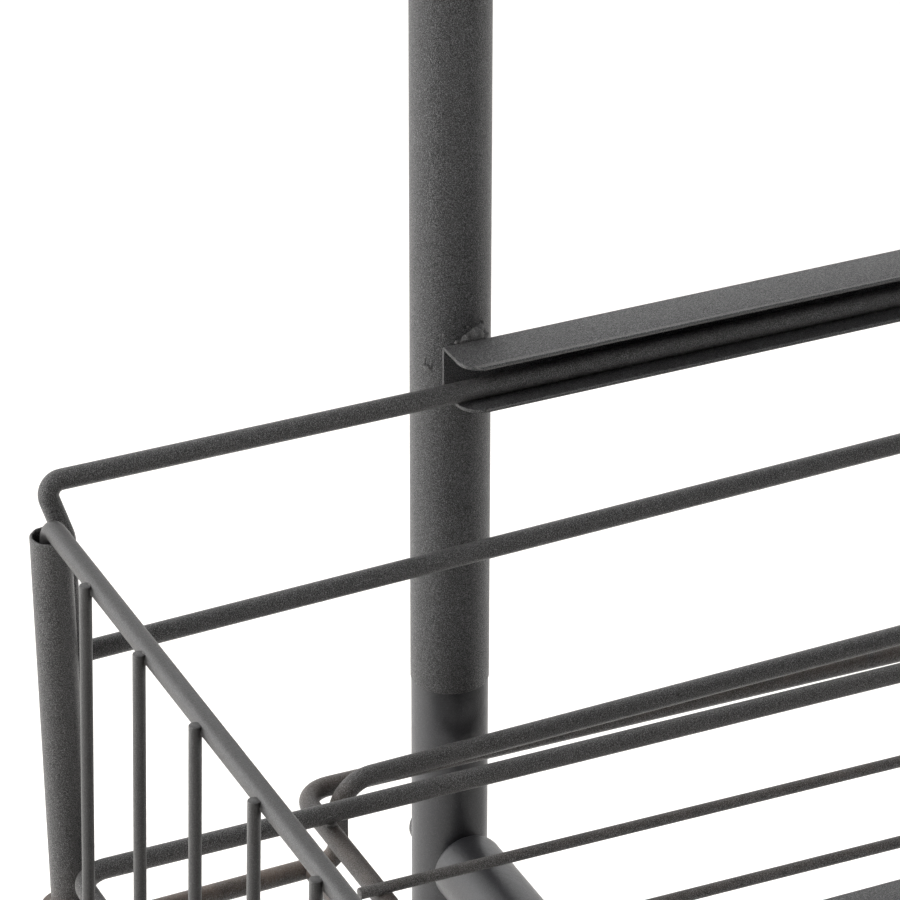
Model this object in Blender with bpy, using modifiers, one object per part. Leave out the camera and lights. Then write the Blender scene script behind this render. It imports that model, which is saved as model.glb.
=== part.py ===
"""Rolling pantry cart: a steel tube frame on four swivel casters, with two wire baskets that pull out
on C-shaped rails, and a wire shelf between the two hoops at the top.

Metres, +Z up. The baskets pull out towards -Y and +X is the right-hand side seen from the front.
The origin is on the floor, under the middle of the cart's outer box.
"""

import math

import bmesh
import bpy
from mathutils import Matrix, Vector

# Frame
POST_SPACING_X = 0.400
POST_SPACING_Y = 0.330
FRONT_POST_Y = -0.1089
BACK_POST_Y = FRONT_POST_Y + POST_SPACING_Y
TUBE_R = 0.0127
TUBE_WALL = 0.0012
LEG_R = 0.01245
SPIGOT_R = 0.0108
SPIGOT_LENGTH = 0.030
LEG_BOTTOM_Z = 0.0640
JOINT_Z = 0.388
HOOP_TOP_Z = 0.9723
HOOP_BEND = 0.040
CROSS_R = 0.0120
CROSS_INSERT = 0.016
LOW_CROSS_Z = 0.080
MID_CROSS_Z = 0.322
TOP_CROSS_Z = 0.915
BOLT_R = 0.0030
BOLT_HOLE_R = 0.0034
BOLT_HEAD_R = 0.0078
BOLT_HEAD_DEPTH = 0.0035
BOLT_DOME_R = 0.0058
BOLT_DOME_DEPTH = 0.0008
BOLT_LENGTH = 0.036
GAP = 0.0003
TUBE_SIDES = 16

# Rails, one pair for each basket
UPPER_RAIL_Z = 0.508
LOWER_RAIL_Z = 0.263
RAIL_HEIGHT = 0.016
RAIL_DEPTH = 0.0184
RAIL_SHEET = 0.0012
RAIL_OVERHANG = 0.0087
RAIL_CORNER = 0.0075

# Baskets: w is the distance in from the post axis, u runs back from the front uprights, and h is the
# height above the middle of the rail
ROD_R = 0.00325
WIRE_R = 0.0019
SINK = 0.0007
BASKET_LENGTH = 0.340
CLOSED_FRONT_U = -0.014
UPPER_PULL = 0.1254
RIM_W = 0.0237
RIM_FRONT_U = -0.0052
RIM_H = -0.00325
SIDE_W = 0.029
UPRIGHT_TOP_H = -0.020
UPRIGHT_TOP_U = -0.0006
UPRIGHT_FOOT_U = 0.00125
MID_ROD_FRONT_H = -0.0611
MID_ROD_BACK_H = -0.0529
STEP_U = 0.0870
STEP_TOP_H = -0.1309
REAR_FLOOR_H = -0.1267
STEP_FOOT_H = -0.1598
FRONT_FLOOR_H = -0.1612
REAR_FLOOR_END_U = 0.326
RING_W = 0.0451
RING_FRONT_H = -0.1294
RING_BACK_H = -0.1310
RING_FRONT_U = -0.0075
BEARER_W = 0.020
BEARER_FRONT_U = 0.0776
BEARER_FRONT_H = -0.1371
BEARER_BACK_U = 0.324
BEARER_BACK_H = -0.1406
FRONT_ROD_U = -0.0078
FRONT_ROD_H = -0.0104
FRONT_ROD_END = 0.018
FRONT_ROD_BEND = 0.0058
FRONT_TILT = 0.0042
WIRE_OVERRUN = 0.0085
FLOOR_WIRE_OFFSETS = (0.0310, 0.0728, 0.1139)
FRONT_WIRES = 7
FRONT_WIRE_PITCH = 0.0418
FIRST_FRONT_WIRE_W = 0.0760
ROD_BEND = 0.010
WIRE_BEND = 0.006
MAIN_ROD_BENDS = (0, 0.004, 0.010, 0.007, 0.008, 0.008, 0.0045, 0.010)

# Hollow corner sleeves at the basket's front
SLEEVE_R = 0.00625
SLEEVE_WALL = 0.0011
SLEEVE_W = 0.036
SLEEVE_TOP_H = -0.0140
SLEEVE_BOTTOM_H = -0.1456
FOOT_R = 0.0097
FOOT_HEIGHT = 0.003

# Top shelf
SHELF_W = 0.024
SHELF_WIRES = 7
SHELF_PITCH = 0.045

# Casters
WHEEL_R = 0.025
WHEEL_HALF = 0.0095
WHEEL_BORE_R = 0.0034
WHEEL_CHAMFER = 0.0015
HUB_R = 0.009
DISC_HALF = 0.007
TREAD_INNER_R = 0.0205
TREAD_HALF = 0.009
TRAIL = 0.020
AXLE_R = 0.0030
AXLE_HEAD_R = 0.0050
AXLE_HEAD_DEPTH = 0.0017
FORK_HALF = 0.0130
FORK_SHEET = 0.0015
FORK_TOP_Z = 0.0555
FORK_FRONT_Y = -0.0125
FORK_FRONT_LOW_Z = 0.048
FORK_ARM_LOW_Z = 0.028
FORK_LOBE_R = 0.0065
FORK_BACK_Y = 0.0345
FORK_BACK_LOW_Z = 0.046
STEM_R = 0.0040
STEM_COLLAR_R = 0.0090
STEM_COLLAR_TOP_Z = 0.0600
STEM_TOP_Z = 0.0835
PLUG_R = 0.0106
PLUG_BORE_R = 0.0046
PLUG_TOP_Z = 0.0840
PLUG_FLANGE_Z = 0.0605
PEDAL_PIVOT_Y = 0.0310
PEDAL_PIVOT_Z = 0.0505
PEDAL_REST_TILT = 12.0
PEDAL_BARREL_R = 0.0022
PEDAL_LENGTH = 0.022
PEDAL_THICKNESS = 0.0024
PEDAL_MIDDLE = 0.0121
PEDAL_MARGIN = 0.0015

SIDES = {"left": -1, "right": 1}
ENDS = {"front": FRONT_POST_Y, "back": BACK_POST_Y}


def clear_scene():
    for item in list(bpy.data.objects):
        bpy.data.objects.remove(item, do_unlink=True)


def new_collection(name):
    made = bpy.data.collections.new(name)
    bpy.context.scene.collection.children.link(made)
    return made


def new_material(name, colour, metallic, roughness):
    made = bpy.data.materials.new(name)
    made.use_nodes = True
    shader = made.node_tree.nodes["Principled BSDF"]
    shader.inputs["Base Color"].default_value = (*colour, 1.0)
    shader.inputs["Metallic"].default_value = metallic
    shader.inputs["Roughness"].default_value = roughness
    return made


def add_object(name, data, material, collection=None):
    made = bpy.data.objects.new(name, data)
    (collection or cart).objects.link(made)
    if material:
        made.data.materials.append(material)
    return made


def hide(helper):
    for owner in list(helper.users_collection):
        owner.objects.unlink(helper)
    cutters.objects.link(helper)
    helper.hide_render = True
    helper.display_type = "WIRE"


def round_corner(before, corner, after, radius, steps):
    """Points along the arc that rounds one corner of a rod."""
    to_before = (before - corner).normalized()
    to_after = (after - corner).normalized()
    half = to_before.angle(to_after) / 2
    tangent = radius / math.tan(half)
    middle = (to_before + to_after).normalized()
    centre = corner + middle * (radius / math.sin(half))
    start = corner + to_before * tangent - centre
    end = corner + to_after * tangent - centre
    sweep = start.angle(end)
    points = []
    for step in range(steps + 1):
        part = step / steps
        weights = math.sin((1 - part) * sweep), math.sin(part * sweep)
        points.append(centre + (start * weights[0] + end * weights[1]) / math.sin(sweep))
    return points


def rounded_path(corners, radius, steps=3, cyclic=False):
    corners = [Vector(corner) for corner in corners]
    count = len(corners)
    path = []
    for index, corner in enumerate(corners):
        if not cyclic and index in (0, count - 1):
            path.append(corner)
            continue
        after = corners[(index + 1) % count]
        path += round_corner(corners[index - 1], corner, after, radius, steps)
    return path


def rod_curve(name, path, radius, sides=8, cyclic=False, caps=True):
    curve = bpy.data.curves.new(name, "CURVE")
    curve.dimensions = "3D"
    curve.bevel_depth = radius
    curve.bevel_resolution = (sides - 4) // 2
    curve.use_fill_caps = caps and not cyclic
    spline = curve.splines.new("POLY")
    spline.points.add(len(path) - 1)
    for point, place in zip(spline.points, path):
        point.co = (*place, 1.0)
    spline.use_cyclic_u = cyclic
    return curve


def add_rod(name, path, radius, material, sides=8, cyclic=False):
    made = add_object(name, rod_curve(name, path, radius, sides, cyclic), material)
    made.data.splines[0].use_smooth = True
    return made


def rods_mesh(name, rods):
    """One mesh from several rods, each given as (path, radius, sides, cyclic)."""
    joined = bmesh.new()
    for path, radius, sides, cyclic in rods:
        curve = rod_curve(name, path, radius, sides, cyclic)
        helper = bpy.data.objects.new(name, curve)
        cutters.objects.link(helper)
        graph = bpy.context.evaluated_depsgraph_get()
        mesh = bpy.data.meshes.new_from_object(helper.evaluated_get(graph))
        joined.from_mesh(mesh)
        bpy.data.objects.remove(helper, do_unlink=True)
    bmesh.ops.remove_doubles(joined, verts=joined.verts, dist=0.00001)
    bmesh.ops.recalc_face_normals(joined, faces=joined.faces)
    made = bpy.data.meshes.new(name)
    joined.to_mesh(made)
    joined.free()
    return made


def boolean(target, helper, operation):
    hide(helper)
    modifier = target.modifiers.new(helper.name, "BOOLEAN")
    modifier.operation = operation
    modifier.solver = "EXACT"
    modifier.object = helper


def welded_rods(name, groups, material):
    """Rods welded into one piece: each group's own rods stay clear of each other."""
    made = add_object(name, rods_mesh(name, groups[0]), material)
    for number, group in enumerate(groups[1:], 1):
        helper_name = f"{name}_weld_{number}"
        helper = add_object(helper_name, rods_mesh(helper_name, group), None, cutters)
        boolean(made, helper, "UNION")
    return made


def lathe(name, profile, material, sides=TUBE_SIDES, collection=None):
    """A turned piece about local Z: profile holds (radius, height) points, down the outer side."""
    mesh = bpy.data.meshes.new(name)
    closed = profile[0][0] > 0
    edges = [(i, i + 1) for i in range(len(profile) - 1)]
    if closed:
        edges.append((len(profile) - 1, 0))
    mesh.from_pydata([(radius, 0, height) for radius, height in profile], edges, [])
    made = add_object(name, mesh, material, collection)
    screw = made.modifiers.new("turn", "SCREW")
    screw.axis = "Z"
    screw.steps = sides
    screw.render_steps = sides
    screw.use_merge_vertices = True
    screw.merge_threshold = 0.00005
    screw.use_smooth_shade = True
    return made


def extruded(name, outline, half_depth, material, collection=None):
    """A flat outline in local XY, extruded both ways along local Z."""
    curve = bpy.data.curves.new(name, "CURVE")
    curve.dimensions = "2D"
    curve.fill_mode = "BOTH"
    curve.extrude = half_depth
    spline = curve.splines.new("POLY")
    spline.points.add(len(outline) - 1)
    for point, (x, y) in zip(spline.points, outline):
        point.co = (x, y, 0.0, 1.0)
    spline.use_cyclic_u = True
    return add_object(name, curve, material, collection)


def made_mesh(source):
    """The curve object turned into a mesh object of the same name and place."""
    bpy.context.view_layer.update()
    graph = bpy.context.evaluated_depsgraph_get()
    mesh = bpy.data.meshes.new_from_object(source.evaluated_get(graph))
    welder = bmesh.new()
    welder.from_mesh(mesh)
    bmesh.ops.remove_doubles(welder, verts=welder.verts, dist=0.00001)
    bmesh.ops.recalc_face_normals(welder, faces=welder.faces)
    welder.to_mesh(mesh)
    welder.free()
    name = source.name
    place = source.matrix_world.copy()
    owner = source.users_collection[0]
    bpy.data.objects.remove(source, do_unlink=True)
    made = bpy.data.objects.new(name, mesh)
    owner.objects.link(made)
    made.matrix_world = place
    return made


def along_x(piece, place):
    """Turns a piece's local Z to world +X."""
    piece.matrix_world = Matrix.Translation(place) @ Matrix.Rotation(math.pi / 2, 4, "Y")


def across_y(piece, place):
    """Turns a piece's local Z to world +Y, with local X to world +X."""
    piece.matrix_world = Matrix.Translation(place) @ Matrix.Rotation(-math.pi / 2, 4, "X")


def arc(centre, radius, start, end, steps):
    """Points of an arc in a plane, with the angles in degrees."""
    points = []
    for step in range(steps + 1):
        angle = math.radians(start + (end - start) * step / steps)
        x = centre[0] + radius * math.cos(angle)
        y = centre[1] + radius * math.sin(angle)
        points.append((x, y))
    return points


def bolt_hole(leg, name, side_x, y):
    hole = lathe(name, [(0, 0.02), (BOLT_HOLE_R, 0.02), (BOLT_HOLE_R, -0.02), (0, -0.02)], None, 8, cutters)
    along_x(hole, (side_x, y, MID_CROSS_Z))
    boolean(leg, hole, "DIFFERENCE")


def add_leg(side, end):
    """The lower part of a post, with a reduced spigot that the hoop slides down over."""
    name = f"leg_{end}_{side}"
    inner_r = LEG_R - TUBE_WALL
    spigot_inner_r = SPIGOT_R - TUBE_WALL
    shoulder_z = JOINT_Z - GAP
    top_z = JOINT_Z + SPIGOT_LENGTH
    profile = [
        (SPIGOT_R, top_z),
        (SPIGOT_R, shoulder_z),
        (LEG_R, shoulder_z),
        (LEG_R, LEG_BOTTOM_Z),
        (inner_r, LEG_BOTTOM_Z),
        (inner_r, shoulder_z - 2 * TUBE_WALL),
        (spigot_inner_r, shoulder_z - 2 * TUBE_WALL),
        (spigot_inner_r, top_z),
    ]
    side_x = SIDES[side] * POST_SPACING_X / 2
    leg = lathe(name, profile, frame_black)
    leg.location = (side_x, ENDS[end], 0)
    bolt_hole(leg, f"{name}_bolt_hole", side_x, ENDS[end])


def add_hoop(side):
    """Both upper posts and the handle bar over them, bent from one tube."""
    name = f"hoop_{side}"
    x = SIDES[side] * POST_SPACING_X / 2
    corners = [
        (x, FRONT_POST_Y, JOINT_Z),
        (x, FRONT_POST_Y, HOOP_TOP_Z),
        (x, BACK_POST_Y, HOOP_TOP_Z),
        (x, BACK_POST_Y, JOINT_Z),
    ]
    path = rounded_path(corners, HOOP_BEND, 5)
    curve = rod_curve(name, path, TUBE_R, TUBE_SIDES, caps=False)
    hoop = made_mesh(add_object(name, curve, None))
    hoop.data.materials.append(frame_black)
    wall = hoop.modifiers.new("wall", "SOLIDIFY")
    wall.thickness = TUBE_WALL
    wall.offset = -1
    wall.use_even_offset = True
    hoop.data.shade_smooth()


def add_cross_tube(level, z, end):
    """A tube between two posts, bored at both ends. The middle ones end square, and are bolted on."""
    name = f"cross_tube_{level}_{end}"
    bolted = level == "middle"
    half = POST_SPACING_X / 2 - (LEG_R + GAP if bolted else LEG_R / 2)
    inner_r = CROSS_R - TUBE_WALL
    deep = POST_SPACING_X / 2 - LEG_R - CROSS_INSERT
    profile = [
        (CROSS_R, half),
        (CROSS_R, -half),
        (BOLT_HOLE_R, -half),
        (BOLT_HOLE_R, -deep),
        (inner_r, -deep),
        (inner_r, deep),
        (BOLT_HOLE_R, deep),
        (BOLT_HOLE_R, half),
    ]
    tube = lathe(name, profile, frame_black)
    along_x(tube, (0, ENDS[end], z))
    if bolted:
        return
    radius = TUBE_R + GAP
    reach = 2 * CROSS_R
    outline = [(0, reach), (radius, reach), (radius, -reach), (0, -reach)]
    for side, sign in SIDES.items():
        coping = lathe(f"{name}_coping_{side}", outline, None, 24, cutters)
        coping.location = (sign * POST_SPACING_X / 2, ENDS[end], z)
        boolean(tube, coping, "DIFFERENCE")


def add_bolt(side, end):
    """The bolt that holds a middle cross tube, through its leg from the outside."""
    face = LEG_R + GAP
    profile = [
        (0, face + BOLT_HEAD_DEPTH),
        (BOLT_DOME_R, face + BOLT_HEAD_DEPTH),
        (BOLT_HEAD_R, face + BOLT_HEAD_DEPTH - BOLT_DOME_DEPTH),
        (BOLT_HEAD_R, face),
        (BOLT_R, face),
        (BOLT_R, face - BOLT_LENGTH),
        (0, face - BOLT_LENGTH),
    ]
    bolt = lathe(f"cross_tube_bolt_{end}_{side}", profile, frame_black, 12)
    place = (SIDES[side] * POST_SPACING_X / 2, ENDS[end], MID_CROSS_Z)
    turn = Matrix.Rotation(SIDES[side] * math.pi / 2, 4, "Y")
    bolt.matrix_world = Matrix.Translation(place) @ turn


def add_rail(level, z, side):
    """A C-shaped rail, open towards the basket, with its free corners rounded."""
    name = f"rail_{level}_{side}"
    sign = -SIDES[side]
    web = TUBE_R + GAP
    free = web + RAIL_DEPTH
    top = RAIL_HEIGHT / 2
    inner = top - RAIL_SHEET
    outline = [
        (web, -top),
        (free, -top),
        (free, -inner),
        (web + RAIL_SHEET, -inner),
        (web + RAIL_SHEET, inner),
        (free, inner),
        (free, top),
        (web, top),
    ]
    half = POST_SPACING_Y / 2 + RAIL_OVERHANG
    middle_y = (FRONT_POST_Y + BACK_POST_Y) / 2
    post_x = SIDES[side] * POST_SPACING_X / 2
    rail = extruded(name, [(sign * x, y) for x, y in outline], half, None)
    across_y(rail, (post_x, middle_y, z))
    rail = made_mesh(rail)
    rail.data.materials.append(frame_black)
    margin = 0.002
    corner_x = free - RAIL_CORNER
    corner_y = half - RAIL_CORNER
    plan = [(web - margin, -half)]
    plan += arc((corner_x, -corner_y), RAIL_CORNER, -90, 0, 4)
    plan += arc((corner_x, corner_y), RAIL_CORNER, 0, 90, 4)
    plan.append((web - margin, half))
    outline = [(sign * x, y) for x, y in plan]
    shape = extruded(f"{name}_plan", outline, RAIL_HEIGHT, None, cutters)
    shape.location = (post_x, middle_y, z)
    boolean(rail, made_mesh(shape), "INTERSECT")


def basket_point(rail_z, pull, side, w, u, h):
    x = SIDES[side] * (POST_SPACING_X / 2 - w)
    return (x, FRONT_POST_Y + CLOSED_FRONT_U - pull + u, rail_z + h)


def both_sides(half_path, point):
    """A path from the middle of the back round the left side, and the same for the right."""
    left = [point("left", *place) for place in half_path]
    right = [point("right", *place) for place in half_path]
    return left + right[::-1]


def add_basket(level, rail_z, pull):
    def point(side, w, u, h):
        return basket_point(rail_z, pull, side, w, u, h)

    add_main_rod(level, point)
    add_mid_rod(level, point)
    add_floor_ring(level, point)
    add_floor_grid(level, point)
    add_front_grille(level, point)
    for side in SIDES:
        add_corner_sleeve(level, point, side)


def add_main_rod(level, point):
    """One bent rod: a side's floor, its step, the front upright, the rim, and the same on the other side."""
    half = [
        (RING_W - 2 * ROD_R - GAP, REAR_FLOOR_END_U, REAR_FLOOR_H),
        (SIDE_W, REAR_FLOOR_END_U, REAR_FLOOR_H),
        (SIDE_W, STEP_U, STEP_TOP_H),
        (SIDE_W, STEP_U, STEP_FOOT_H),
        (SIDE_W, UPRIGHT_FOOT_U, FRONT_FLOOR_H),
        (SIDE_W, UPRIGHT_TOP_U, UPRIGHT_TOP_H),
        (RIM_W, RIM_FRONT_U, RIM_H),
        (RIM_W, BASKET_LENGTH, RIM_H),
    ]
    path = []
    for side in SIDES:
        corners = [Vector(point(side, *place)) for place in half]
        other = "right" if side == "left" else "left"
        corners.append(Vector(point(other, *half[-1])))
        run = [corners[0]]
        for index in range(1, len(half)):
            run += round_corner(*corners[index - 1:index + 2], MAIN_ROD_BENDS[index], 3)
        path += run if side == "left" else run[::-1]
    add_rod(f"{level}_basket_main_rod", path, ROD_R, wire_black)


def add_mid_rod(level, point):
    """The rod half-way up the sides, which runs round the back and butts on the front uprights."""
    start_u = ROD_R + 2 * GAP
    half = [(SIDE_W, start_u, MID_ROD_FRONT_H), (SIDE_W, BASKET_LENGTH, MID_ROD_BACK_H)]
    path = rounded_path(both_sides(half, point), ROD_BEND)
    add_rod(f"{level}_basket_mid_rod", path, ROD_R, wire_black)


def add_floor_ring(level, point):
    """The closed ring that frames the inside of the basket's floor."""
    half = [(RING_W, RING_FRONT_U, RING_FRONT_H), (RING_W, BASKET_LENGTH, RING_BACK_H)]
    path = rounded_path(both_sides(half, point), ROD_BEND, cyclic=True)
    add_rod(f"{level}_basket_floor_ring", path, ROD_R, wire_black, cyclic=True)


def wire_places(offsets):
    """Distances in from the left post for wires at these offsets to both sides of the middle."""
    places = {POST_SPACING_X / 2 + sign * offset for offset in offsets for sign in (-1, 1)}
    return sorted(places)


def add_floor_grid(level, point):
    """The bearer ring under the floor, and thin wires that run back over it and up the back."""
    half = [(BEARER_W, BEARER_FRONT_U, BEARER_FRONT_H), (BEARER_W, BEARER_BACK_U, BEARER_BACK_H)]
    bearer = rounded_path(both_sides(half, point), ROD_BEND, cyclic=True)
    touch = ROD_R + WIRE_R - SINK
    back_u = BASKET_LENGTH - ROD_R - WIRE_R - GAP
    wires = []
    for w in wire_places(FLOOR_WIRE_OFFSETS):
        corners = [
            point("left", w, BEARER_FRONT_U - WIRE_OVERRUN, BEARER_FRONT_H + touch),
            point("left", w, back_u, BEARER_BACK_H + touch),
            point("left", w, back_u, RIM_H + 0.5 * ROD_R),
        ]
        wires.append((rounded_path(corners, WIRE_BEND), WIRE_R, 6, False))
    groups = [[(bearer, ROD_R, 8, True)], wires]
    welded_rods(f"{level}_basket_floor_grid", groups, wire_black)


def add_front_grille(level, point):
    """The front rod, whose ends turn down into the sleeves, and the thin wires down the front."""
    top = [
        point("left", SLEEVE_W, FRONT_ROD_U, FRONT_ROD_H - FRONT_ROD_END),
        point("left", SLEEVE_W, FRONT_ROD_U, FRONT_ROD_H),
        point("right", SLEEVE_W, FRONT_ROD_U, FRONT_ROD_H),
        point("right", SLEEVE_W, FRONT_ROD_U, FRONT_ROD_H - FRONT_ROD_END),
    ]
    touch = ROD_R + WIRE_R - SINK
    top_u = FRONT_ROD_U - touch
    bottom_u = top_u - FRONT_TILT
    low_rod_u = bottom_u + touch
    low_rod = [point(side, SIDE_W, low_rod_u, FRONT_FLOOR_H) for side in SIDES]
    step_rod_w = SIDE_W + ROD_R + GAP
    step_rod = [point(side, step_rod_w, STEP_U - 3 * ROD_R, STEP_FOOT_H) for side in SIDES]
    wires = []
    for number in range(FRONT_WIRES):
        w = FIRST_FRONT_WIRE_W + number * FRONT_WIRE_PITCH
        corners = [
            point("left", w, top_u, FRONT_ROD_H + 0.5 * ROD_R),
            point("left", w, bottom_u, FRONT_FLOOR_H - touch),
            point("left", w, STEP_U - ROD_R, STEP_FOOT_H - touch),
        ]
        wires.append((rounded_path(corners, WIRE_BEND), WIRE_R, 6, False))
    rods = [
        (rounded_path(top, FRONT_ROD_BEND), ROD_R, 8, False),
        (low_rod, ROD_R, 8, False),
        (step_rod, ROD_R, 8, False),
    ]
    welded_rods(f"{level}_basket_front_grille", [rods, wires], wire_black)


def add_corner_sleeve(level, point, side):
    """The hollow sleeve that takes the end of the front rod, with its foot."""
    inner_r = SLEEVE_R - SLEEVE_WALL
    length = SLEEVE_TOP_H - SLEEVE_BOTTOM_H
    profile = [
        (SLEEVE_R, 0),
        (SLEEVE_R, -length),
        (FOOT_R, -length),
        (FOOT_R, -length - 0.7 * FOOT_HEIGHT),
        (0.8 * FOOT_R, -length - FOOT_HEIGHT),
        (0, -length - FOOT_HEIGHT),
        (0, -length),
        (inner_r, -length),
        (inner_r, 0),
    ]
    name = f"{level}_basket_corner_sleeve_{side}"
    mesh = bpy.data.meshes.new(name)
    count = len(profile)
    edges = [(i, i + 1) for i in range(count - 1) if i != 5]
    edges.append((count - 1, 0))
    mesh.from_pydata([(radius, 0, height) for radius, height in profile], edges, [])
    sleeve = add_object(name, mesh, wire_black)
    screw = sleeve.modifiers.new("turn", "SCREW")
    screw.steps = 12
    screw.render_steps = 12
    screw.use_merge_vertices = True
    screw.merge_threshold = 0.00005
    screw.use_smooth_shade = True
    lean = Matrix.Rotation(math.atan((UPRIGHT_FOOT_U - UPRIGHT_TOP_U) / length), 4, "X")
    place = point(side, SLEEVE_W, FRONT_ROD_U, SLEEVE_TOP_H)
    sleeve.matrix_world = Matrix.Translation(place) @ lean
    notch_r = ROD_R + 2 * GAP
    notch_profile = [(0, 0), (notch_r, 0), (notch_r, -1.5 * length), (0, -1.5 * length)]
    notch = lathe(f"{name}_notch", notch_profile, None, 12, cutters)
    notch_top = point(side, SIDE_W, UPRIGHT_TOP_U, UPRIGHT_TOP_H)
    notch.matrix_world = Matrix.Translation(notch_top) @ lean
    boolean(sleeve, notch, "DIFFERENCE")


def add_shelf():
    """A welded wire shelf that lies on the two top cross tubes."""
    x = POST_SPACING_X / 2 - SHELF_W
    z = TOP_CROSS_Z + CROSS_R + GAP + ROD_R
    corners = [(-x, FRONT_POST_Y, z), (x, FRONT_POST_Y, z), (x, BACK_POST_Y, z), (-x, BACK_POST_Y, z)]
    ring = rounded_path(corners, ROD_BEND, cyclic=True)
    wire_z = z + ROD_R + WIRE_R - SINK
    wires = []
    for number in range(SHELF_WIRES):
        wire_x = (number - (SHELF_WIRES - 1) / 2) * SHELF_PITCH
        ends = (FRONT_POST_Y - ROD_R, BACK_POST_Y + ROD_R)
        wires.append(([Vector((wire_x, y, wire_z)) for y in ends], WIRE_R, 6, False))
    welded_rods("top_shelf", [[(ring, ROD_R, 8, True)], wires], wire_black)


def add_leg_plug(side, end):
    """The plastic plug in a leg's foot, bored for the caster's stem."""
    flange_top = LEG_BOTTOM_Z - GAP
    profile = [
        (PLUG_R, PLUG_TOP_Z),
        (PLUG_R, flange_top),
        (LEG_R, flange_top),
        (LEG_R, PLUG_FLANGE_Z),
        (PLUG_BORE_R, PLUG_FLANGE_Z),
        (PLUG_BORE_R, PLUG_TOP_Z),
    ]
    plug = lathe(f"leg_plug_{end}_{side}", profile, plug_black)
    plug.location = (SIDES[side] * POST_SPACING_X / 2, ENDS[end], 0)


def add_caster(side, end):
    """A swivel caster: the stem, fork, axle and wheel hang from an empty on the swivel axis."""
    label = f"{end}_{side}"
    pivot = bpy.data.objects.new(f"caster_pivot_{label}", None)
    cart.objects.link(pivot)
    pivot.location = (SIDES[side] * POST_SPACING_X / 2, ENDS[end], 0)
    stem_bottom = FORK_TOP_Z + GAP
    stem_profile = [
        (0, STEM_TOP_Z),
        (STEM_R, STEM_TOP_Z),
        (STEM_R, STEM_COLLAR_TOP_Z),
        (STEM_COLLAR_R, STEM_COLLAR_TOP_Z),
        (STEM_COLLAR_R, stem_bottom),
        (0, stem_bottom),
    ]
    stem = lathe(f"caster_stem_{label}", stem_profile, steel, 12)
    fork = add_fork(label, pivot)
    head = FORK_HALF + GAP
    tip = head + AXLE_HEAD_DEPTH
    axle_profile = [
        (0, tip),
        (AXLE_HEAD_R, tip),
        (AXLE_HEAD_R, head),
        (AXLE_R, head),
        (AXLE_R, -head),
        (AXLE_HEAD_R, -head),
        (AXLE_HEAD_R, -tip),
        (0, -tip),
    ]
    axle = lathe(f"caster_axle_{label}", axle_profile, steel, 12)
    along_x(axle, (0, TRAIL, WHEEL_R))
    outer = [
        (WHEEL_BORE_R, WHEEL_HALF),
        (HUB_R, WHEEL_HALF),
        (HUB_R + WHEEL_CHAMFER, DISC_HALF),
        (TREAD_INNER_R, DISC_HALF),
        (TREAD_INNER_R + WHEEL_CHAMFER, TREAD_HALF),
        (WHEEL_R, TREAD_HALF - WHEEL_CHAMFER),
    ]
    profile = outer + [(radius, -height) for radius, height in outer[::-1]]
    wheel = lathe(f"caster_wheel_{label}", profile, wheel_grey, 20)
    along_x(wheel, (0, TRAIL, WHEEL_R))
    for piece in (stem, fork, axle, wheel):
        piece.parent = pivot
    if end == "front":
        add_pedal(label, pivot)


def add_fork(label, pivot):
    """The bent plate fork: its side outline extruded across, and a channel cut out for the wheel."""
    outline = [(FORK_FRONT_Y, FORK_TOP_Z), (FORK_FRONT_Y, FORK_FRONT_LOW_Z)]
    outline.append((TRAIL - FORK_LOBE_R, FORK_ARM_LOW_Z))
    outline += arc((TRAIL, WHEEL_R), FORK_LOBE_R, 180, 360, 5)
    outline += [(FORK_BACK_Y, FORK_BACK_LOW_Z), (FORK_BACK_Y, FORK_TOP_Z)]
    fork = extruded(f"caster_fork_{label}", outline, FORK_HALF, None)
    fork.matrix_world = Matrix(((0, 0, 1, 0), (1, 0, 0, 0), (0, 1, 0, 0), (0, 0, 0, 1)))
    fork = made_mesh(fork)
    fork.data.materials.append(steel)
    inner = FORK_HALF - FORK_SHEET
    channel_top = FORK_TOP_Z - FORK_SHEET
    bpy.ops.mesh.primitive_cube_add(size=1)
    channel = bpy.context.active_object
    channel.name = f"caster_fork_{label}_channel"
    channel.scale = (2 * inner, 4 * FORK_BACK_Y, 2 * channel_top)
    boolean(fork, channel, "DIFFERENCE")
    reach = FORK_HALF + 0.004
    radius = AXLE_R + GAP
    hole_outline = [(0, reach), (radius, reach), (radius, -reach), (0, -reach)]
    hole = lathe(f"caster_fork_{label}_hole", hole_outline, None, 12, cutters)
    along_x(hole, (0, TRAIL, WHEEL_R))
    boolean(fork, hole, "DIFFERENCE")
    for helper in (channel, hole):
        helper.parent = pivot
    return fork


def add_pedal(label, pivot):
    """The brake pedal: a barrel between the fork's plates with a foot plate behind it."""
    half = FORK_HALF - FORK_SHEET - GAP
    outline = [(0, half), (PEDAL_BARREL_R, half), (PEDAL_BARREL_R, -half), (0, -half)]
    barrel = lathe(f"brake_pedal_{label}", outline, pedal_black, 12)
    tilt = math.radians(PEDAL_REST_TILT)
    place = Vector((0, PEDAL_PIVOT_Y, PEDAL_PIVOT_Z))
    along_x(barrel, place)
    bpy.ops.mesh.primitive_cube_add(size=1)
    plate = bpy.context.active_object
    plate.name = f"brake_pedal_{label}_plate"
    plate.scale = (2 * (half - PEDAL_MARGIN), PEDAL_LENGTH, PEDAL_THICKNESS)
    turn = Matrix.Rotation(tilt, 4, "X")
    size = Matrix.Diagonal((*plate.scale, 1))
    plate.matrix_world = Matrix.Translation(place) @ turn @ Matrix.Translation((0, PEDAL_MIDDLE, 0)) @ size
    boolean(barrel, plate, "UNION")
    for piece in (barrel, plate):
        piece.parent = pivot


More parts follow.
